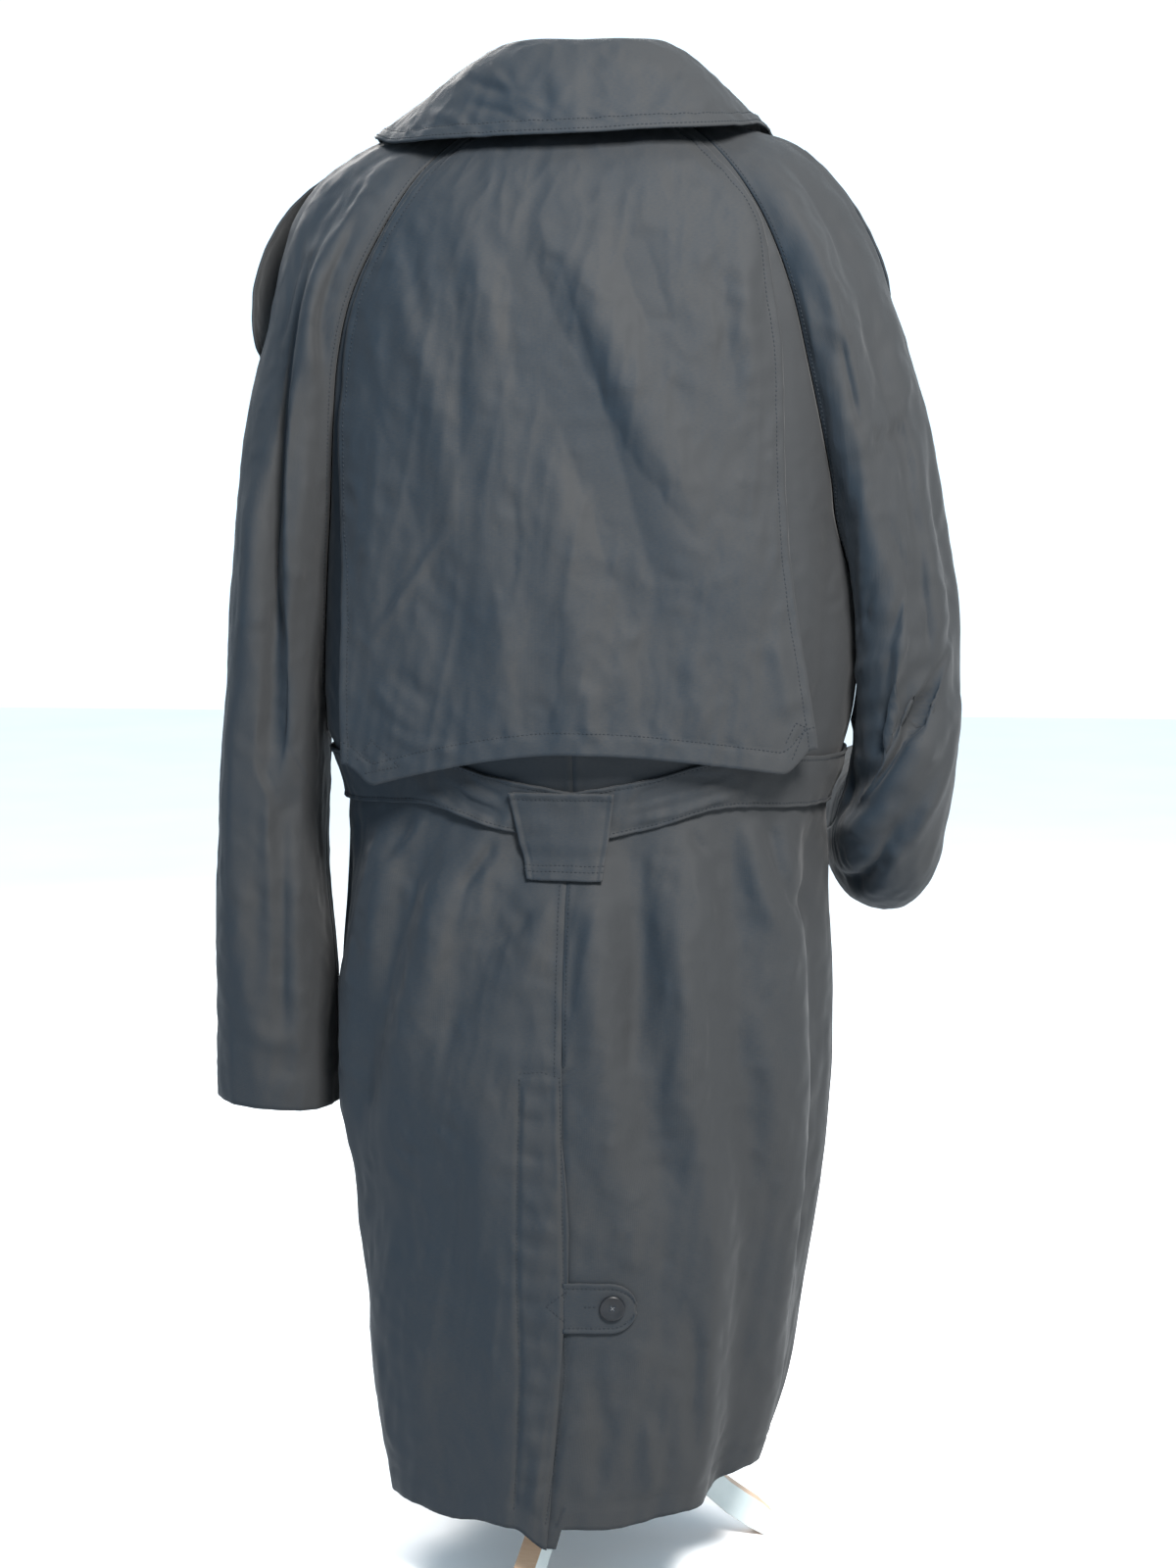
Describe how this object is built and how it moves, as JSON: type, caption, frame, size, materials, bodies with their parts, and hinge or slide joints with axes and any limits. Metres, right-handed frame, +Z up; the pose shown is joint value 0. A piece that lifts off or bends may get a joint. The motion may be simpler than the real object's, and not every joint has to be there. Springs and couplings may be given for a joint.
{
  "type": "trench coat on a dress form",
  "caption": "Long wrapped trench coat with storm flap, tied belt, raglan sleeves and a back vent, hung on a limbless dress form that stands on three board legs.",
  "frame": {"origin": "on the floor under the middle of the whole object's box", "axes": "+Z up, the coat's front faces -Y and its back +Y, the wearer's left is +X"},
  "size_m": [0.6042, 0.3466, 1.2283],
  "materials": {
    "coat_cloth": "fine shot weave, dull sheen",
    "dark_horn": "polished",
    "form_cover": "smooth matte",
    "painted_board": "satin paint on the faces, bare edges"
  },
  "bodies": {
    "root": {"back_left": "coat_cloth", "back_right": "coat_cloth", "front_left": "coat_cloth", "front_right": "coat_cloth", "sleeve_left_back": "coat_cloth", "sleeve_left_front": "coat_cloth", "sleeve_right_back": "coat_cloth", "sleeve_right_front": "coat_cloth", "storm_flap": "coat_cloth", "collar_fall": "coat_cloth", "collar_stand": "coat_cloth", "lapel_left": "coat_cloth", "lapel_right": "coat_cloth", "belt": "coat_cloth", "belt_loop": "coat_cloth", "vent_tab": "coat_cloth", "shoulder_tab_left": "coat_cloth", "shoulder_tab_right": "coat_cloth", "vent_button": "dark_horn", "front_button_left_1": "dark_horn", "front_button_right_1": "dark_horn", "front_button_left_2": "dark_horn", "front_button_right_2": "dark_horn", "front_button_left_3": "dark_horn", "front_button_right_3": "dark_horn", "front_button_left_4": "dark_horn", "front_button_right_4": "dark_horn", "shoulder_button_left": "dark_horn", "shoulder_button_right": "dark_horn", "belt_buckle": "dark_horn", "form_torso": "form_cover", "form_neck_cap": "form_cover", "stand_pole": "painted_board", "stand_hub": "painted_board", "stand_leg_1": "painted_board", "stand_leg_2": "painted_board", "stand_leg_3": "painted_board"}
  },
  "joints": []
}
